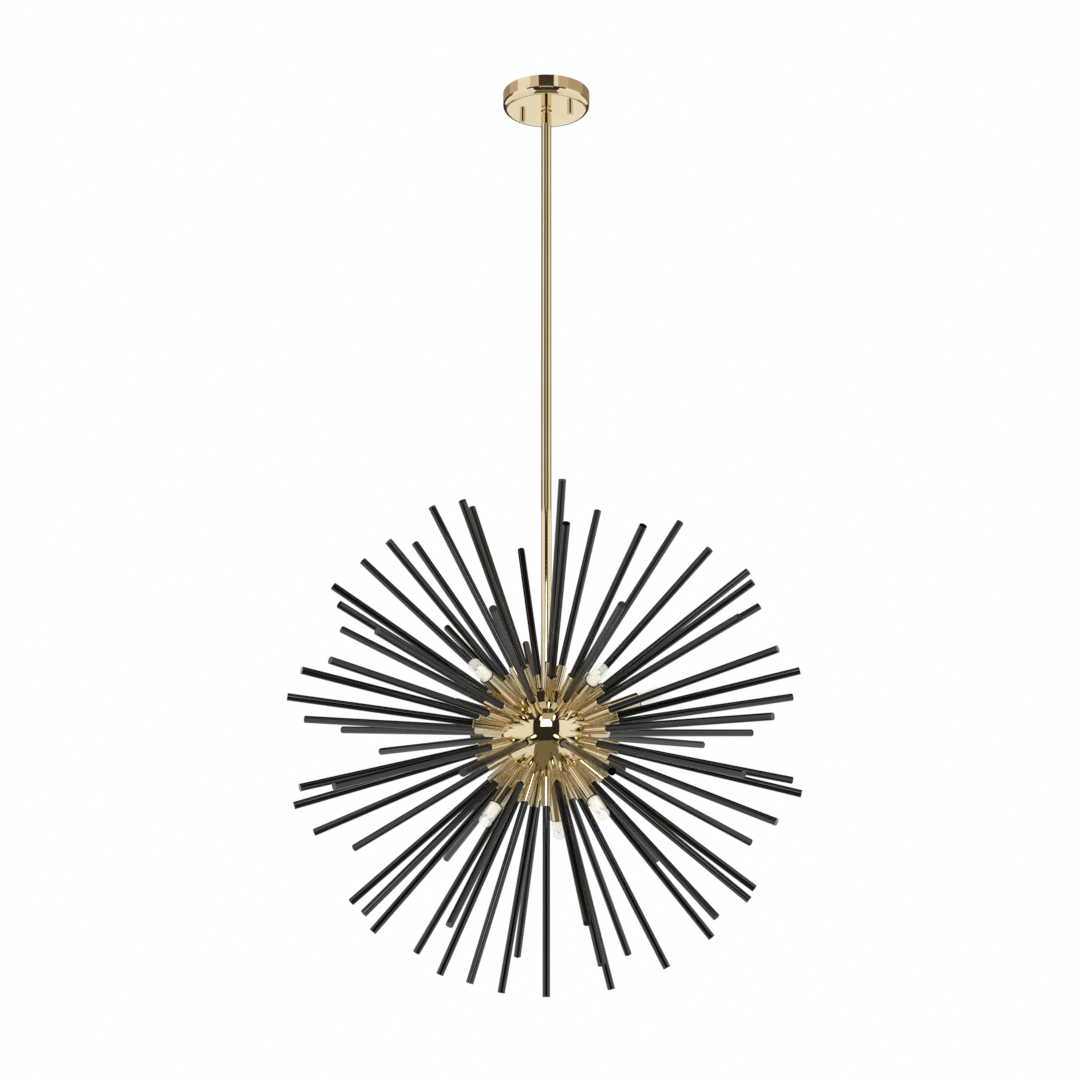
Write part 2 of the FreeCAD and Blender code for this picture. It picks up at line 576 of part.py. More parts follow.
def lamp_cup():
    """Turned cup that stands on the arm's shoulder and shades the lamp's foot."""
    cup = cylinder(CUP_RADIUS, CUP_FOOT, CUP_RIM)
    hollow = cylinder(CUP_BORE_RADIUS, CUP_FOOT + CUP_WALL, CUP_RIM + CUT_EXTRA)
    hole = cylinder(ARM_SPIGOT_RADIUS + FIT_GAP, CUP_FOOT - CUT_EXTRA, CUP_RIM)
    return cup.cut([hollow, hole])


def lampholder():
    """Ceramic two-pin holder: a slot for the bulb's foot and two pin holes."""
    body = cylinder(HOLDER_RADIUS, HOLDER_FOOT, HOLDER_TOP)
    width, thickness = FOOT_WIDTH + 2 * SLIP_GAP, FOOT_THICKNESS + 2 * SLIP_GAP
    slot = block(width, thickness, HOLDER_SLOT_FLOOR, HOLDER_TOP + CUT_EXTRA)
    hole = cylinder(PIN_RADIUS + SLIP_GAP, HOLDER_SLOT_FLOOR - PIN_HOLE_DEPTH, HOLDER_TOP, PIN_SPACING / 2)
    return body.cut([slot] + mirrored_pair(hole))


def bulb_base():
    """Bulb's foot: a flange under the glass, a flat tongue and two pins."""
    tongue_low = HOLDER_SLOT_FLOOR + SLIP_GAP
    base = cylinder(BULB_RADIUS, BULB_FLANGE_FOOT, BULB_FLANGE_FOOT + BULB_FLANGE)
    base = base.fuse(block(FOOT_WIDTH, FOOT_THICKNESS, tongue_low, BULB_FLANGE_FOOT))
    pin = cylinder(PIN_RADIUS, tongue_low - PIN_LENGTH, tongue_low, PIN_SPACING / 2)
    return base.fuse(mirrored_pair(pin)).removeSplitter()


def bulb_glass():
    """Capsule envelope with a shallow waist and a rounded tip, open where it meets its flange."""
    low = BULB_FLANGE_FOOT + BULB_FLANGE
    waist = BULB_TIP - BULB_WAIST_DROP
    half = BULB_WAIST_LENGTH / 2

    def outline(radius, tip, dome_radius):
        """Edges up one side of the glass, from its foot to the axis."""
        corner = (radius - dome_radius, tip - dome_radius)
        dome = [on_circle(corner, dome_radius, a) for a in (90, 135, 180)]
        return [
            line((radius, low), (radius, waist - half)),
            arc((radius, waist - half), (radius - BULB_WAIST_DEPTH, waist), (radius, waist + half)),
            line((radius, waist + half), dome[0]),
            arc(*dome),
            line(dome[2], (0, tip)),
        ]

    outer = outline(BULB_RADIUS, BULB_TIP, BULB_DOME_RADIUS)
    inner = outline(BULB_RADIUS - BULB_WALL, BULB_TIP - BULB_WALL, BULB_DOME_RADIUS - BULB_WALL)
    top = line((0, BULB_TIP), (0, BULB_TIP - BULB_WALL))
    foot = line((BULB_RADIUS - BULB_WALL, low), (BULB_RADIUS, low))
    return turned(outer + [top] + inner[::-1] + [foot])


def lamp_lead():
    """Pair of insulated conductors from the holder down the arm into the ball."""
    return cylinder(LEAD_RADIUS, LEAD_INNER_END, HOLDER_FOOT)


def supply_wires():
    """Three insulated conductors, side by side, from the swivel to the coupler in the ball."""
    low = COUPLER_FLOOR_Z + WIRE_END_GAP
    turns = [math.radians(360.0 * k / WIRE_COUNT) for k in range(WIRE_COUNT)]
    places = [(WIRE_CIRCLE * math.cos(t), WIRE_CIRCLE * math.sin(t)) for t in turns]
    return [cylinder(WIRE_RADIUS, low, WIRE_TOP, x, y) for x, y in places]


# ---------------------------------------------------------------- write every node
def main():
    os.makedirs("parts", exist_ok=True)
    for make in (mounting_strap, canopy_studs, stud_lock_nuts, ground_screw, canopy, canopy_nuts,
                 swivel_seat, swivel_liner, swivel_ball, stem_coupling, stem, stem_foot_nipple,
                 hub_top_nut, hub_tie_coupler, hub_tie_rod, supply_wires):
        save(make.__name__, make())
    upper, lower = hub_shells()
    save("hub_upper_shell", upper)
    save("hub_lower_shell", lower)

    save("bottom_sleeve", aimed(bottom_sleeve(), *STRAIGHT_DOWN))
    save("bottom_rod", aimed(rod(), *STRAIGHT_DOWN))
    sleeves = {"lower_sleeves": [], "upper_sleeves": []}
    for name, row in ROD_ROWS.items():
        save("rods_" + name, [aimed(rod(), *way) for way in row])
        for latitude, turn in row:
            half = "upper_sleeves" if latitude > 0 else "lower_sleeves"
            sleeves[half].append(aimed(sleeve(), latitude, turn))
    for half, pieces in sleeves.items():
        save(half, pieces)
    save("rod_end_plugs", [aimed(rod_end_plug(), *way) for way in rod_directions()])

    for make in (lamp_arm, lampholder, lamp_lead):
        save(make.__name__ + "s", [aimed(make(), *way) for way in lamp_directions()])
    for number, way in enumerate(lamp_directions(), start=1):
        for make in (lamp_cup, bulb_glass, bulb_base):
            save(f"{make.__name__}_{number}", aimed(make(), *way))


main()
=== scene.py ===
# %% [markdown]
# # Sputnik chandelier
# A ceiling canopy carries a ball swivel, a long stem and a hollow polished ball. Slim black rods
# stand out of the ball on every side, each from a short polished sleeve, with capsule lamps among
# them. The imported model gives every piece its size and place. This lesson gives them their
# finish, adds the small pieces that the eye expects, and lights the whole for one picture.

# %% load the frame
import json
import math

import bpy
import numpy as np
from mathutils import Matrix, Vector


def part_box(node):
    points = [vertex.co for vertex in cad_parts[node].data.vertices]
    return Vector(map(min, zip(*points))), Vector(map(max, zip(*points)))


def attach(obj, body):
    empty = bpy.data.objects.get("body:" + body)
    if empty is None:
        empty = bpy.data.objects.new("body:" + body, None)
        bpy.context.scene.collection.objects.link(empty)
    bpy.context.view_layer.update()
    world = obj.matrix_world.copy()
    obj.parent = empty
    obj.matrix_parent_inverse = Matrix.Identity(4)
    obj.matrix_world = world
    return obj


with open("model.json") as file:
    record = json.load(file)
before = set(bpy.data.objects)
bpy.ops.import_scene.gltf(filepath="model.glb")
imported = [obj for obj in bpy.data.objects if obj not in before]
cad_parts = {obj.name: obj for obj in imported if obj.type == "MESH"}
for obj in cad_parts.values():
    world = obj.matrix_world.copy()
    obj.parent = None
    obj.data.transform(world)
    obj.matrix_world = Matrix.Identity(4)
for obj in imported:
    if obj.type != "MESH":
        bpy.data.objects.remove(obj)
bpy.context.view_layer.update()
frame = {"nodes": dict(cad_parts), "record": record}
nodes = frame["nodes"]

# %% [markdown]
# ## Where the camera stands
# The picture was taken from below and in front, so the camera looks up at the ball and the
# canopy's lower face shows as a wide ellipse. The distance comes from that ellipse and from how
# much the stem narrows upwards: nine rod lengths. The lens then follows from the size of the
# burst in the frame. The stem stands upright and a little right of the middle: a small lens shift.

# %% camera
ROD_REACH = 0.350
HUB = np.array([0.0, 0.0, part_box("rod_end_plugs")[0][2] + ROD_REACH])
CAMERA_DISTANCE = 9.0 * ROD_REACH
CAMERA_SIDE = math.radians(21.4)       # round the stem, from straight in front
CAMERA_BELOW = math.radians(10.5)      # the ball is seen from below
CAMERA_PITCH = math.radians(15.22)
STEM_SHIFT = 6.3 / 1080.0              # stem's place right of the middle, over the frame's width
FOCAL_SHARE = 2334.3 / 1080.0          # focal length over the frame's width


def level_direction(turn):
    """Level unit vector at a turn about the stem from straight in front: (sin, -cos, 0)."""
    return np.array([math.sin(turn), -math.cos(turn), 0.0])


toward_camera = level_direction(CAMERA_SIDE)
camera_place = HUB + CAMERA_DISTANCE * (
    math.cos(CAMERA_BELOW) * toward_camera - np.array([0.0, 0.0, math.sin(CAMERA_BELOW)]))
lens_data = bpy.data.cameras.new("camera")
lens_data.sensor_width = 36.0
lens_data.lens = 36.0 * FOCAL_SHARE
lens_data.shift_x = -STEM_SHIFT
lens_data.clip_start, lens_data.clip_end = 0.05, 60.0
camera = bpy.data.objects.new("camera", lens_data)
camera.location = camera_place
camera.rotation_euler = (math.pi / 2 + CAMERA_PITCH, 0.0, CAMERA_SIDE)
bpy.context.scene.collection.objects.link(camera)
bpy.context.scene.camera = camera
print("camera at", np.round(camera_place, 3))

# %% [markdown]
# ## Writing shader maths as expressions
# A material is a tree of nodes, and wiring it by hand hides what it computes. One small class
# wraps a socket and overloads the operators, so that `0.1 + 0.05 * spots` builds its Math nodes.

# %% shader helper
class Value:
    """One output socket of a node tree, with arithmetic that adds Math nodes."""

    def __init__(self, tree, socket):
        self.tree, self.socket = tree, socket

    def _math(self, operation, first, second):
        return self.tree.node("ShaderNodeMath", {"operation": operation}, {0: first, 1: second})

    def __add__(self, other):
        return self._math("ADD", self, other)

    __radd__ = __add__

    def __mul__(self, other):
        return self._math("MULTIPLY", self, other)

    __rmul__ = __mul__

    def __rsub__(self, other):
        return self._math("SUBTRACT", other, self)

    def __pow__(self, other):
        return self._math("POWER", self, other)

    def above(self, edge):
        """1 where the value is greater than the edge, else 0."""
        return self._math("GREATER_THAN", self, edge)

    def between(self, low, high):
        """Smooth step: 0 below low, 1 above high."""
        return self.tree.node("ShaderNodeMapRange", {"interpolation_type": "SMOOTHSTEP"},
                              {0: self, 1: low, 2: high, 3: 0.0, 4: 1.0})


class Tree:
    """A node tree and the one method that adds a node to it."""

    def __init__(self, owner):
        owner.use_nodes = True
        self.nodes, self.links = owner.node_tree.nodes, owner.node_tree.links
        self.nodes.clear()

    def node(self, kind, settings=None, inputs=None, output=0):
        """Adds a node: its settings first, then each input's number, colour or link."""
        made = self.nodes.new(kind)
        for name, setting in (settings or {}).items():
            setattr(made, name, setting)
        for key, content in (inputs or {}).items():
            if isinstance(content, Value):
                self.links.new(content.socket, made.inputs[key])
            else:
                made.inputs[key].default_value = content
        return Value(self, made.outputs[output]) if made.outputs else None

    def here(self):
        """Object coordinates in metres: the piece's own place in the frame."""
        return self.node("ShaderNodeTexCoord", output=3)

    def noise(self, scale, detail=2.0, stretch=(1.0, 1.0, 1.0)):
        """Cloudy value from 0 to 1. A stretch below 1 draws the pattern out along that axis."""
        place = self.node("ShaderNodeMapping", {}, {"Vector": self.here(), "Scale": stretch})
        return self.node("ShaderNodeTexNoise", {},
                         {"Vector": place, "Scale": scale, "Detail": detail})

    def mix(self, share, first, second):
        """Colour between two colours by a share from 0 to 1."""
        return self.node("ShaderNodeMix", {"data_type": "RGBA"},
                         {0: share, 6: first, 7: second}, output=2)

    def bump(self, height, depth):
        """Normal that leans as a height from 0 to 1 would, with its depth in metres."""
        return self.node("ShaderNodeBump", {},
                         {"Height": height, "Distance": depth, "Strength": 1.0})

    def surface(self, sockets):
        """Principled surface wired to the output."""
        shader = self.node("ShaderNodeBsdfPrincipled", {}, sockets)
        self.node("ShaderNodeOutputMaterial", {}, {"Surface": shader})


def rgb(red, green, blue):
    """Colour with full alpha."""
    return (red, green, blue, 1.0)


materials = {}


def finish(name):
    """Starts an empty material under a name and returns its tree."""
    materials[name] = bpy.data.materials.new(name)
    return Tree(materials[name])


# %% [markdown]
# ## Champagne plating
# The canopy, stem, ball, sleeves and cups are polished and plated in a pale warm gold. It is a
# metal, so its colour tints what it mirrors, and where polished pieces face each other the tint
# multiplies and turns amber. A flat colour would look like plastic, so the plating gets a slow
# change of tint, a haze of fine wiping marks in its roughness and an almost flat ripple.

# %% champagne plating
def champagne_plating(name, haze, marks_along):
    """Tint: pale gold mixed with deeper gold by slow noise. Roughness: base + haze * marks."""
    tree = finish(name)
    clouds = tree.noise(9.0, 3.0).between(0.35, 0.65)
    marks = tree.noise(420.0, 4.0, stretch=marks_along)
    ripple = tree.noise(34.0, 1.0)
    tree.surface({
        "Base Color": tree.mix(clouds, rgb(0.818, 0.702, 0.480), rgb(0.790, 0.666, 0.430)),
        "Metallic": 1.0,
        "Roughness": 0.035 + haze * marks.between(0.3, 0.8),
        "Normal": tree.bump(ripple + 0.004 * marks, 0.00012),
    })


champagne_plating("plating_spun", 0.030, (1.0, 1.0, 1.0))
champagne_plating("plating_drawn", 0.035, (1.0, 1.0, 0.05))
champagne_plating("plating_turned", 0.020, (1.0, 1.0, 1.0))

# %% [markdown]
# ## Gloss black lacquer
# The rods are sprayed tubes. Lacquer is a dark film under a clear glossy one, so a coat lies over
# a softer base. Sprayed films dry with a faint pebbled skin, and a little dust dulls them.

# %% black lacquer
tree = finish("black_lacquer")
pebble = tree.noise(520.0, 2.0)
dust = tree.noise(60.0, 6.0).between(0.52, 0.78)
tree.surface({
    "Base Color": tree.mix(dust, rgb(0.0015, 0.0016, 0.0021), rgb(0.0032, 0.0033, 0.0039)),
    "Roughness": 0.07 + 0.03 * dust + 0.01 * pebble,
    "Specular IOR Level": 0.62,
    "Coat Weight": 0.30 - 0.15 * dust,
    "Coat Roughness": 0.03,
    "Normal": tree.bump(pebble, 0.000001),
})

# %% [markdown]
# ## Zinc plated steel
# The strap, studs, nuts and seat ring are plain bought hardware. Zinc shows as a grey metal with a
# patchwork of crystals that are slightly lighter or darker, and faint drag marks from the rolls.

# %% zinc steel
tree = finish("zinc_steel")
crystals = tree.node("ShaderNodeTexVoronoi", {}, {"Vector": tree.here(), "Scale": 260.0}, output=1)
patch = tree.node("ShaderNodeSeparateColor", {}, {0: crystals})
drag = tree.noise(300.0, 3.0, stretch=(0.06, 1.0, 1.0))
tree.surface({
    "Base Color": tree.mix(patch, rgb(0.52, 0.53, 0.54), rgb(0.66, 0.67, 0.68)),
    "Metallic": 1.0,
    "Roughness": 0.30 + 0.16 * patch + 0.08 * drag,
    "Normal": tree.bump(drag, 0.00002),
})

# %% [markdown]
# ## Small hidden finishes
# The earth screw is dyed green, the slip ring is white moulded plastic with a fine grain, and the
# wires have a soft sheath with a slight waxy sheen.

# %% green screw, moulded ring and wire sheath
tree = finish("green_screw")
scratches = tree.noise(700.0, 3.0, stretch=(1.0, 0.2, 1.0))
tree.surface({
    "Base Color": tree.mix(scratches.between(0.5, 0.8),
                           rgb(0.05, 0.27, 0.11), rgb(0.20, 0.40, 0.24)),
    "Metallic": 0.6,
    "Roughness": 0.32 + 0.2 * scratches,
})

tree = finish("white_plastic")
grain = tree.noise(1500.0, 2.0)
tree.surface({
    "Base Color": tree.mix(tree.noise(40.0), rgb(0.78, 0.77, 0.73), rgb(0.84, 0.83, 0.80)),
    "Roughness": 0.42 + 0.12 * grain,
    "Normal": tree.bump(grain, 0.00002),
})

tree = finish("wire_sheath")
wax = tree.noise(180.0, 3.0)
tree.surface({
    "Base Color": tree.mix(wax, rgb(0.70, 0.69, 0.66), rgb(0.78, 0.77, 0.73)),
    "Roughness": 0.34 + 0.16 * wax,
    "Normal": tree.bump(wax, 0.00004),
})

# %% [markdown]
# ## Ceramic and glass
# The lampholders and the lamps' feet are unglazed ceramic: off-white, matt and faintly gritty.
# The capsules are thin milky glass round a frosted inner tube. So thin a wall hardly bends what is
# behind it: it is mostly see-through where it is looked at squarely, and denser at its edges, where
# its colour is painted a darker brown: a painted reflection of the dark room that such edges show.
# A weak painted glow stands in for the light that such glass scatters inside itself.

# %% ceramic and glass
tree = finish("white_ceramic")
grit = tree.noise(900.0, 4.0)
tree.surface({
    "Base Color": tree.mix(grit.between(0.4, 0.7), rgb(0.80, 0.77, 0.70), rgb(0.86, 0.84, 0.78)),
    "Roughness": 0.55 + 0.2 * grit,
    "Normal": tree.bump(grit, 0.00005),
})

tree = finish("lamp_glass")
haze = tree.noise(120.0, 3.0)
edge = tree.node("ShaderNodeLayerWeight", {}, {"Blend": 0.30}, output=1)
tree.surface({
    # painted reflection: the colour turns darker brown towards grazing edges, standing in for the
    # dark room seen there
    "Base Color": tree.mix(edge ** 3.0, rgb(0.965, 0.945, 0.880), rgb(0.56, 0.52, 0.42)),
    "Roughness": 0.04 + 0.03 * haze,
    "Alpha": 0.22 + 0.05 * haze + 0.45 * edge ** 3.0,
    # painted glow: the unlit glass gives off a weak warm light
    "Emission Color": rgb(1.0, 0.95, 0.84),
    "Emission Strength": 0.24,
})
print("materials:", sorted(materials))

# %% [markdown]
# ## Giving each piece its finish
# The record names a material slot for each node. The plating has three versions, for spun, drawn
# and turned work, because wiping marks run along a tube but round a turned bush.

# %% finish the carried-over nodes
PLATED = {
    "canopy": "plating_spun", "hub_upper_shell": "plating_spun", "hub_lower_shell": "plating_spun",
    "stem": "plating_drawn", "stem_coupling": "plating_drawn",
}


def give(piece, name):
    """Puts one material on a piece."""
    piece.data.materials.clear()
    piece.data.materials.append(materials[name])


for part in frame["record"]["subparts"]:
    name, slot = part["node"], part["material_slot"]
    give(nodes[name], PLATED.get(name, "plating_turned") if slot == "champagne_metal" else slot)

# %% [markdown]
# ## What shows inside a lamp
# Behind the clear capsule stands a frosted burner: a glass tube pinched flat along its middle, so
# that its section has two lobes. Four thin support wires run up its sides and end in two dark
# beads at the capsule's waist. The burner is a surface of two parameters, one round the tube and
# one along it, so numpy can work out all its points at once.

# %% one mesh from a grid of points
def closed_tube(rings):
    """Vertices and faces of a closed tube: quads between rings of points, one face on each end."""
    count, around = rings.shape[:2]
    place = np.arange(count * around).reshape(count, around)
    ahead = np.roll(place, -1, axis=1)
    sides = np.stack([place[:-1], ahead[:-1], ahead[1:], place[1:]], axis=-1).reshape(-1, 4)
    return rings.reshape(-1, 3), sides.tolist() + [place[0, ::-1].tolist(), place[-1].tolist()]


def new_piece(name, parts, material, body):
    """One object from (points, faces) parts, smooth shaded, with its finish, riding on a body."""
    points, faces, first = [], [], 0
    for part_points, part_faces in parts:
        points.append(part_points)
        faces += [[first + corner for corner in face] for face in part_faces]
        first += len(part_points)
    mesh = bpy.data.meshes.new(name)
    mesh.from_pydata(np.concatenate(points).tolist(), [], faces)
    mesh.polygons.foreach_set("use_smooth", [len(face) == 4 for face in faces])
    mesh.materials.append(materials[material])
    piece = bpy.data.objects.new(name, mesh)
    bpy.context.scene.collection.objects.link(piece)
    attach(piece, body)
    return piece


# %% where the lamps are
MM = 0.001
# Heights along a lamp are measured from the middle of the ball.
CUP_RIM = 132.0 * MM
BULB_FLANGE_TOP = 121.0 * MM
BULB_WAIST = 155.0 * MM
BULB_INNER_RADIUS = 7.9 * MM
BULB_RADIUS = 8.8 * MM
CUP_RADIUS = 10.5 * MM


def lamp_axes(along):
    """Rows: across the pins' plane, square to it, and along the lamp away from the ball."""
    level = np.array([-along[1], along[0], 0.0]) / math.hypot(along[0], along[1])
    return np.array([np.cross(level, along), level, along])


joints = frame["record"]["behaviour"]["joints"]
lamps = [lamp_axes(np.array(joint["axis"])) for joint in joints
         if joint["name"].startswith("bulb_")]
print("lamps:", len(lamps))

# %% burner, wires and beads
BURNER_FOOT, BURNER_TOP = BULB_FLANGE_TOP + 0.5 * MM, BULB_WAIST - 3.2 * MM
BURNER_RADIUS = 6.2 * MM
WIRE_RADIUS = 0.3 * MM
BEAD_RADIUS = 1.0 * MM
BURNER_RINGS, BURNER_ROUND = 25, 48
PINCH_WAIST, PINCH_LOBE = 0.5, 0.55     # half thickness at the pinch, and what the lobes add
END_SQUARENESS = 6                      # power that squares the burner's ends
WIRE_ROUND = 10
BEAD_RINGS, BEAD_ROUND, BEAD_POLE = 13, 20, 0.12
HOOP_SECTION, HOOP_ROUND = 16, 64
HOOP_SQUARENESS = 0.4                   # power that squares the dark rim ring's section


def circle_angles(count):
    """Evenly spaced angles once round, without the last that would repeat the first."""
    return np.linspace(0.0, 2 * np.pi, count, endpoint=False)


def burner():
    """Pinched tube with squared ends.

    Along it: height by sine steps s, girth (1 - s^6)^(1/6).
    Round it: (cos u, sin u * (0.5 + 0.55 cos^2 u)).
    """
    steps = np.sin(np.linspace(-0.5 * np.pi, 0.5 * np.pi, BURNER_RINGS))
    fullness = np.clip(1.0 - np.abs(steps) ** END_SQUARENESS, 0.0004, None)
    girth = BURNER_RADIUS * fullness ** (1 / END_SQUARENESS)
    height = 0.5 * (BURNER_FOOT + BURNER_TOP) + 0.5 * (BURNER_TOP - BURNER_FOOT) * steps
    turn = circle_angles(BURNER_ROUND)
    pinch = PINCH_WAIST + PINCH_LOBE * np.cos(turn) ** 2
    section = np.stack([np.cos(turn), np.sin(turn) * pinch], axis=-1)
    level = girth[:, None, None] * section[None]
    tall = np.broadcast_to(height[:, None, None], (BURNER_RINGS, BURNER_ROUND, 1))
    return closed_tube(np.concatenate([level, tall], axis=-1))


def tube_along(path, radius):
    """Round tube along a nearly straight path: a level circle of the radius at each point."""
    turn = circle_angles(WIRE_ROUND)
    circle = radius * np.stack([np.cos(turn), np.sin(turn), 0 * turn], axis=-1)
    return closed_tube(path[:, None] + circle[None])


def bead(middle, radius):
    """Sphere: rings at equal angles from pole to pole, sin(a) wide and -cos(a) high."""
    angle = np.linspace(BEAD_POLE, np.pi - BEAD_POLE, BEAD_RINGS)
    turn = circle_angles(BEAD_ROUND)
    rings = np.stack([np.sin(angle)[:, None] * np.cos(turn),
                      np.sin(angle)[:, None] * np.sin(turn),
                      np.broadcast_to(-np.cos(angle)[:, None], (BEAD_RINGS, BEAD_ROUND))], axis=-1)
    return closed_tube(np.array(middle) + radius * rings)


def hoop(middle_radius, height, thickness, tall):
    """Flat ring: rounded rectangle of thickness by tall carried round a circle."""
    corner = circle_angles(HOOP_SECTION)
    section = np.stack([np.cos(corner), np.sin(corner)], axis=-1)
    section = (0.5 * np.sign(section) * np.abs(section) ** HOOP_SQUARENESS
               * np.array([thickness, tall]))
    turn = circle_angles(HOOP_ROUND)
    reach = middle_radius + section[:, 0]
    rings = np.stack([reach[:, None] * np.cos(turn), reach[:, None] * np.sin(turn),
                      np.broadcast_to(height + section[:, 1:], (HOOP_SECTION, HOOP_ROUND))],
                     axis=-1)
    place = np.arange(HOOP_SECTION * HOOP_ROUND).reshape(HOOP_SECTION, HOOP_ROUND)
    onward = np.roll(place, -1, 1)
    faces = np.stack([place, onward, np.roll(onward, -1, 0), np.roll(place, -1, 0)], -1)
    return rings.reshape(-1, 3), faces.reshape(-1, 4).tolist()


# %% [markdown]
# The burner's glass is frosted to a warm white, with a weak painted glow that stands in for the
# light that it lets through. The wires and beads are dark oxidised metal. The black ring in each
# cup's mouth, between the capsule and the cup, is painted shade.

# %% frost with painted glow, dark wire and painted rim shade
tree = finish("burner_frost")
frost = tree.noise(260.0, 3.0)
tree.surface({
    "Base Color": tree.mix(frost, rgb(0.94, 0.915, 0.83), rgb(0.965, 0.945, 0.88)),
    "Roughness": 0.42 + 0.18 * frost,
    # painted glow: the unlit burner gives off a weak warm light, for the light let through it
    "Emission Color": rgb(1.0, 0.95, 0.84),
    "Emission Strength": 0.26,
    "Normal": tree.bump(frost, 0.00001),
})

tree = finish("burner_wire")
oxide = tree.noise(800.0, 3.0)
tree.surface({
    "Base Color": tree.mix(oxide, rgb(0.10, 0.075, 0.055), rgb(0.22, 0.17, 0.12)),
    "Metallic": 0.8,
    "Roughness": 0.35 + 0.25 * oxide,
})

# painted shade: a black ring in each cup's mouth, where the gap round the capsule shows dark
tree = finish("painted_rim_shade")
rim_shade_mottle = tree.noise(500.0, 3.0)
tree.surface({
    "Base Color": tree.mix(rim_shade_mottle, rgb(0.012, 0.011, 0.010), rgb(0.030, 0.028, 0.026)),
    "Roughness": 0.50 + 0.2 * rim_shade_mottle,
    "Normal": tree.bump(rim_shade_mottle, 0.00003),
})

# %% burners in their lamps, painted rim shade in their cups
WIRE_ASIDE, WIRE_OUT = 3.9 * MM, 2.9 * MM
BEAD_ASIDE, BEAD_DROP = 3.6 * MM, 1.0 * MM
RIM_SHADE_TALL, RIM_SHADE_RISE = 1.2 * MM, 0.6 * MM
RIM_SHADE_MARGIN = 0.2 * MM                # what the dark rim ring leaves free of the gap that it fills
WIRE_SPOTS = [(sx * WIRE_ASIDE, sy * WIRE_OUT) for sx in (-1, 1) for sy in (-1, 1)]
BEAD_SPOTS = [(-BEAD_ASIDE, 0.0), (BEAD_ASIDE, 0.0)]


def wire_path(x, y):
    """Straight up beside the burner, then inwards to a bead: three points above one corner."""
    return np.array([[x, y, BURNER_FOOT - 0.3 * MM], [x, y, BURNER_TOP - 1.0 * MM],
                     [math.copysign(BEAD_ASIDE, x), 0.35 * y, BULB_WAIST - 1.2 * MM]])


def in_place(part, axes):
    """Moves a part from the lamp's own axes to its lamp: middle of the ball + point . axes."""
    return HUB + part[0] @ axes, part[1]


rim_shade_rings = []
for number, axes in enumerate(lamps, start=1):
    body = f"bulb_{number}"
    new_piece(f"burner_{number}", [in_place(burner(), axes)], "burner_frost", body)
    metal = [tube_along(wire_path(x, y), WIRE_RADIUS) for x, y in WIRE_SPOTS]
    metal += [bead((x, y, BULB_WAIST - BEAD_DROP), BEAD_RADIUS) for x, y in BEAD_SPOTS]
    metal = [in_place(part, axes) for part in metal]
    new_piece(f"burner_wires_{number}", metal, "burner_wire", body)
    # painted shade ring that fills the gap between the capsule and the cup's mouth
    ring = hoop(0.5 * (BULB_RADIUS + CUP_RADIUS + RIM_SHADE_MARGIN), CUP_RIM + RIM_SHADE_RISE,
                CUP_RADIUS - BULB_RADIUS - RIM_SHADE_MARGIN, RIM_SHADE_TALL)
    rim_shade_rings.append(in_place(ring, axes))
new_piece("cup_rim_painted_shade", rim_shade_rings, "painted_rim_shade", "pendant")
print("new pieces:", 2 * len(lamps) + 1)

# %% [markdown]
# ## Room and light
# The picture is a cut-out look: pure white behind, soft light on every side. Polished metal only
# looks polished if it has something to mirror. So cards stand round the chandelier that nothing
# but a mirror can see: dark ones on the photographer's side, and tan and grey ones beside and
# behind it. Each is a strip of a tall cylinder round the stem. The ball mirrors the low ones, the
# stem the middle ones and the canopy's wall the high ones.

# %% cards for the mirrors
CARD_DISTANCE = 2.5
CARD_STEP = 4.0                                         # degrees from one corner to the next
LOW, MIDDLE, HIGH, TOP = -2.38, 0.08, 1.14, 2.40        # heights where the rows of cards meet
BACK_SILL, BACK_HEAD = -1.75, -0.75                     # the opening in the low cards behind
DARK = rgb(0.055, 0.042, 0.030)
NIGHT = rgb(0.034, 0.027, 0.024)
OLIVE_TAN = rgb(0.55, 0.50, 0.37)
WARM_GREY = rgb(0.30, 0.27, 0.21)


def card(name, first, last, low, high, colour):
    """Curved strip between two turns in degrees from the camera's side, right positive."""
    count = 2 + int(abs(last - first) / CARD_STEP)
    turns = CAMERA_SIDE + np.radians(np.linspace(first, last, count))
    curve = CARD_DISTANCE * np.stack([np.sin(turns), -np.cos(turns)], axis=-1)
    corners = [(x, y, z) for z in (low, high) for x, y in curve]
    faces = [(k, k + 1, count + k + 1, count + k) for k in range(count - 1)]
    glowing(name, corners, faces, colour)


def glowing(name, corners, faces, colour):
    """Stage mesh that glows evenly in one colour, and that only mirrors can see."""
    mesh = bpy.data.meshes.new(name)
    mesh.from_pydata([tuple(corner) for corner in corners], [], faces)
    panel = bpy.data.objects.new(name, mesh)
    bpy.context.scene.collection.objects.link(panel)
    glow = bpy.data.materials.new(name)
    tree = Tree(glow)
    light = tree.node("ShaderNodeEmission", {}, {"Color": colour, "Strength": 1.0})
    tree.node("ShaderNodeOutputMaterial", {}, {"Surface": light})
    mesh.materials.append(glow)
    panel.visible_camera = panel.visible_diffuse = panel.visible_shadow = False
    panel.visible_transmission = panel.visible_volume_scatter = False


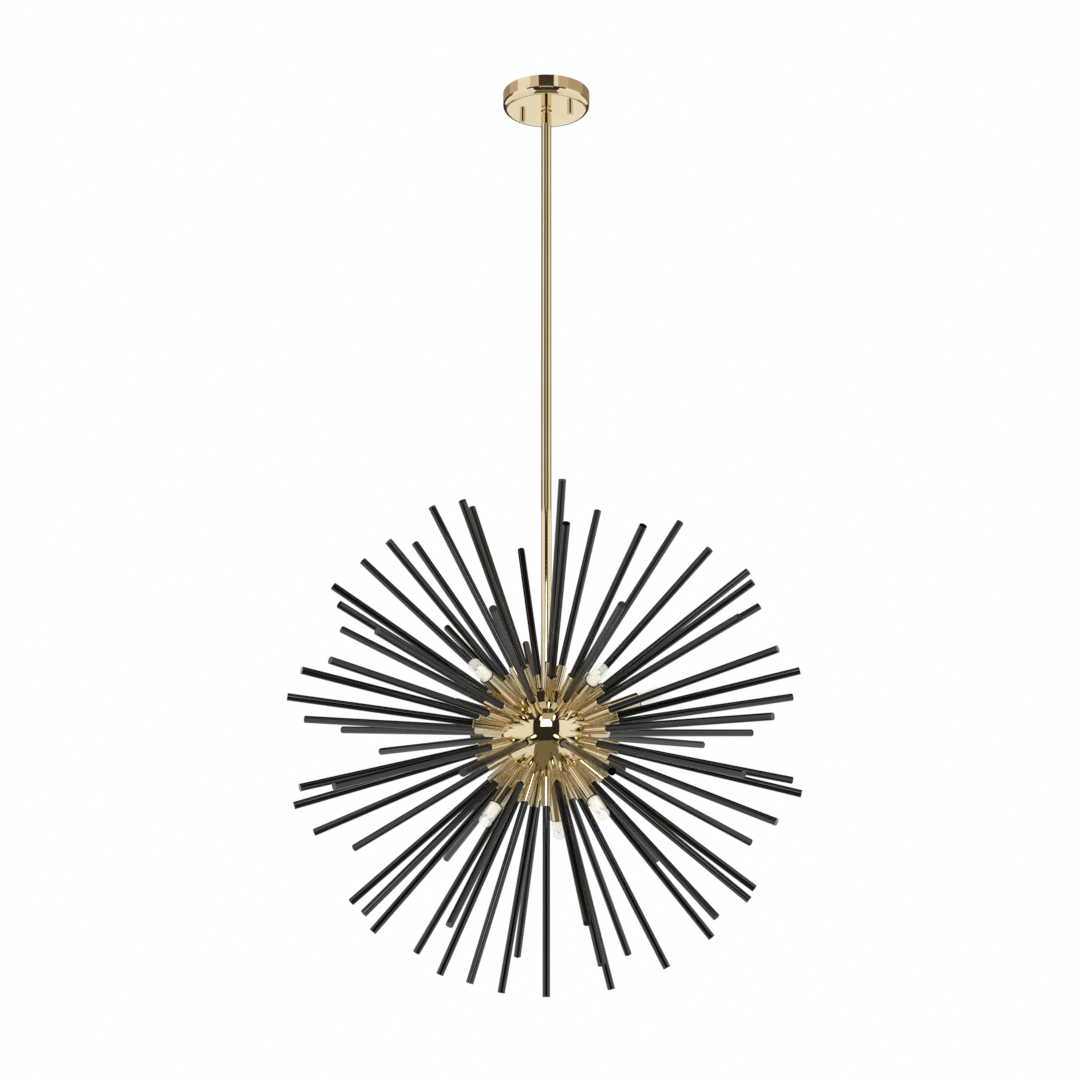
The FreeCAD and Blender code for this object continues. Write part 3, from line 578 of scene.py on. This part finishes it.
card("low_front", -33, 33, LOW, MIDDLE, NIGHT)
card("low_back", 138, 222, LOW, BACK_SILL, WARM_GREY)
card("low_back_left", -158, -138, BACK_SILL, BACK_HEAD, WARM_GREY)
card("low_back_right", 138, 158, BACK_SILL, BACK_HEAD, WARM_GREY)
card("low_back_above", 138, 222, BACK_HEAD, MIDDLE, NIGHT)
card("middle_front", -18, 18, MIDDLE, HIGH, OLIVE_TAN)
card("middle_front_left", -50, -18, MIDDLE, HIGH, DARK)
card("middle_front_right", 18, 50, MIDDLE, HIGH, DARK)
card("middle_back_left", -180, -95, MIDDLE, HIGH, rgb(0.06, 0.05, 0.04))
card("middle_back_right", 98, 180, MIDDLE, HIGH, rgb(0.25, 0.23, 0.20))
card("high_front", -20, 20, HIGH, TOP, DARK)
card("high_left", -43, -20, HIGH, TOP, rgb(0.77, 0.67, 0.61))
card("high_far_left", -113, -81, HIGH, TOP, rgb(0.62, 0.52, 0.40))
card("high_back_left", -180, -113, HIGH, TOP, rgb(0.39, 0.31, 0.23))
card("high_right", 32, 60, HIGH, TOP, rgb(0.62, 0.52, 0.40))
card("high_far_right", 60, 113, HIGH, TOP, rgb(0.52, 0.43, 0.29))
card("high_back_right", 113, 180, HIGH, TOP, rgb(0.31, 0.25, 0.18))

# %% [markdown]
# Four flat cards finish the mirrored room. A small bright window before the camera's side is the
# ball's one highlight, and draws a thin light line along some of the black rods. It leans so that
# the canopy sees it edge on and does not mirror it. An olive strip lies on the floor in front, and
# a dark ceiling with one dimly lit opening lies above.

# %% flat cards
ahead = level_direction(CAMERA_SIDE)
aside = np.array([-ahead[1], ahead[0], 0.0])


def flat_card(name, outline, colour):
    """Card from (right, toward the camera, height) corners."""
    corners = [aside * x + ahead * y + np.array([0.0, 0.0, z]) for x, y, z in outline]
    glowing(name, corners, [tuple(range(len(corners)))], colour)


WINDOW = [(-0.59, 2.40), (0.58, 2.33), (0.39, 1.60), (0.20, 1.32), (-0.17, 1.32), (-0.39, 1.60)]
WINDOW_LEAN = 0.3                       # drop for each metre toward the camera, from the canopy
WINDOW_WHITE = rgb(4.0, 4.0, 4.0)
flat_card("window", [(x, y, -WINDOW_LEAN * y) for x, y in WINDOW], WINDOW_WHITE)
STRIP = [(-0.45, -1.0), (0.45, -1.0), (1.3, 2.5), (-1.3, 2.5)]
flat_card("floor_strip", [(x, y, LOW) for x, y in STRIP], rgb(0.21, 0.18, 0.11))
CEILING_REACH = 2.6
for name, near, far, height, colour in [
        ("ceiling", -CEILING_REACH, CEILING_REACH, TOP, NIGHT),
        ("opening", 0.9, 2.45, TOP - 0.02, rgb(0.7, 0.65, 0.55))]:
    spots = [(-CEILING_REACH, near), (CEILING_REACH, near), (CEILING_REACH, far),
             (-CEILING_REACH, far)]
    flat_card(name, [(x, y, height) for x, y in spots], colour)

# %% backdrop
ROOM_LEVEL = 0.80


def sees_backdrop(tree):
    """1 for a ray that shows the background itself: straight, mirrored or through glass."""
    kinds = ("Is Camera Ray", "Is Glossy Ray", "Is Transmission Ray")
    straight, mirrored, through = (tree.node("ShaderNodeLightPath", output=kind) for kind in kinds)
    return (straight + mirrored + through).above(0.5)


scene = bpy.context.scene
scene.view_settings.view_transform = "Standard"
world = bpy.data.worlds.new("room")
scene.world = world
tree = Tree(world)
brightness = ROOM_LEVEL + (1.0 - ROOM_LEVEL) * sees_backdrop(tree)
backdrop = tree.node("ShaderNodeBackground", {},
                     {"Color": rgb(1.0, 1.0, 1.0), "Strength": brightness})
tree.node("ShaderNodeOutputWorld", {}, {"Surface": backdrop})

# %% [markdown]
# The floor lies under the burst, out of this picture, and shows in the views from above. It is
# pale, keeps the soft shadow, and fades to white far from the middle, so its edge never shows.

# %% floor
FLOOR_HEIGHT = -2.6
FLOOR_REACH = 14.0
FLOOR_WHITE = 0.75                      # share of pure white under the burst
FADE_FROM, FADE_TO = 2.8, 8.0           # distances from the middle between which it turns all white
floor_mesh = bpy.data.meshes.new("floor")
floor_corners = [(x * FLOOR_REACH, y * FLOOR_REACH, FLOOR_HEIGHT)
                 for x, y in ((-1, -1), (1, -1), (1, 1), (-1, 1))]
floor_mesh.from_pydata(floor_corners, [], [(0, 1, 2, 3)])
floor = bpy.data.objects.new("floor", floor_mesh)
scene.collection.objects.link(floor)
floor_material = bpy.data.materials.new("floor")
tree = Tree(floor_material)
paint = tree.node("ShaderNodeBsdfDiffuse", {}, {"Color": rgb(0.84, 0.84, 0.84)})
white = tree.node("ShaderNodeEmission", {}, {"Color": rgb(1.0, 1.0, 1.0), "Strength": 1.0})
from_middle = tree.node("ShaderNodeVectorMath", {"operation": "LENGTH"}, {0: tree.here()}, output=1)
fade = FLOOR_WHITE + (1.0 - FLOOR_WHITE) * from_middle.between(FADE_FROM, FADE_TO)
both = tree.node("ShaderNodeMixShader", {}, {0: fade * sees_backdrop(tree), 1: paint, 2: white})
tree.node("ShaderNodeOutputMaterial", {}, {"Surface": both})
floor_mesh.materials.append(floor_material)

# %% soft boxes
BOX_DISTANCE, BOX_HEIGHT = 2.6, 0.35
BOX_WIDTH, BOX_TALL = 1.1, 1.9
BOX_LEVEL = 0.9


def soft_box(name, turn):
    """Area lamp that faces the ball. Its power gives a chosen brightness: level * pi * area."""
    data = bpy.data.lights.new(name, "AREA")
    data.shape, data.size, data.size_y = "RECTANGLE", BOX_WIDTH, BOX_TALL
    data.energy = BOX_LEVEL * math.pi * BOX_WIDTH * BOX_TALL
    lamp = bpy.data.objects.new(name, data)
    place = level_direction(turn) * BOX_DISTANCE + np.array([0.0, 0.0, BOX_HEIGHT])
    aim = HUB - place
    lamp.location = place
    rise = math.atan2(aim[2], math.hypot(aim[0], aim[1]))
    lamp.rotation_euler = (math.pi / 2 + rise, 0.0, math.atan2(-aim[0], aim[1]))
    lamp.visible_glossy = False
    scene.collection.objects.link(lamp)


soft_box("soft_box_left", CAMERA_SIDE - math.radians(52.0))
soft_box("soft_box_right", CAMERA_SIDE + math.radians(48.0))
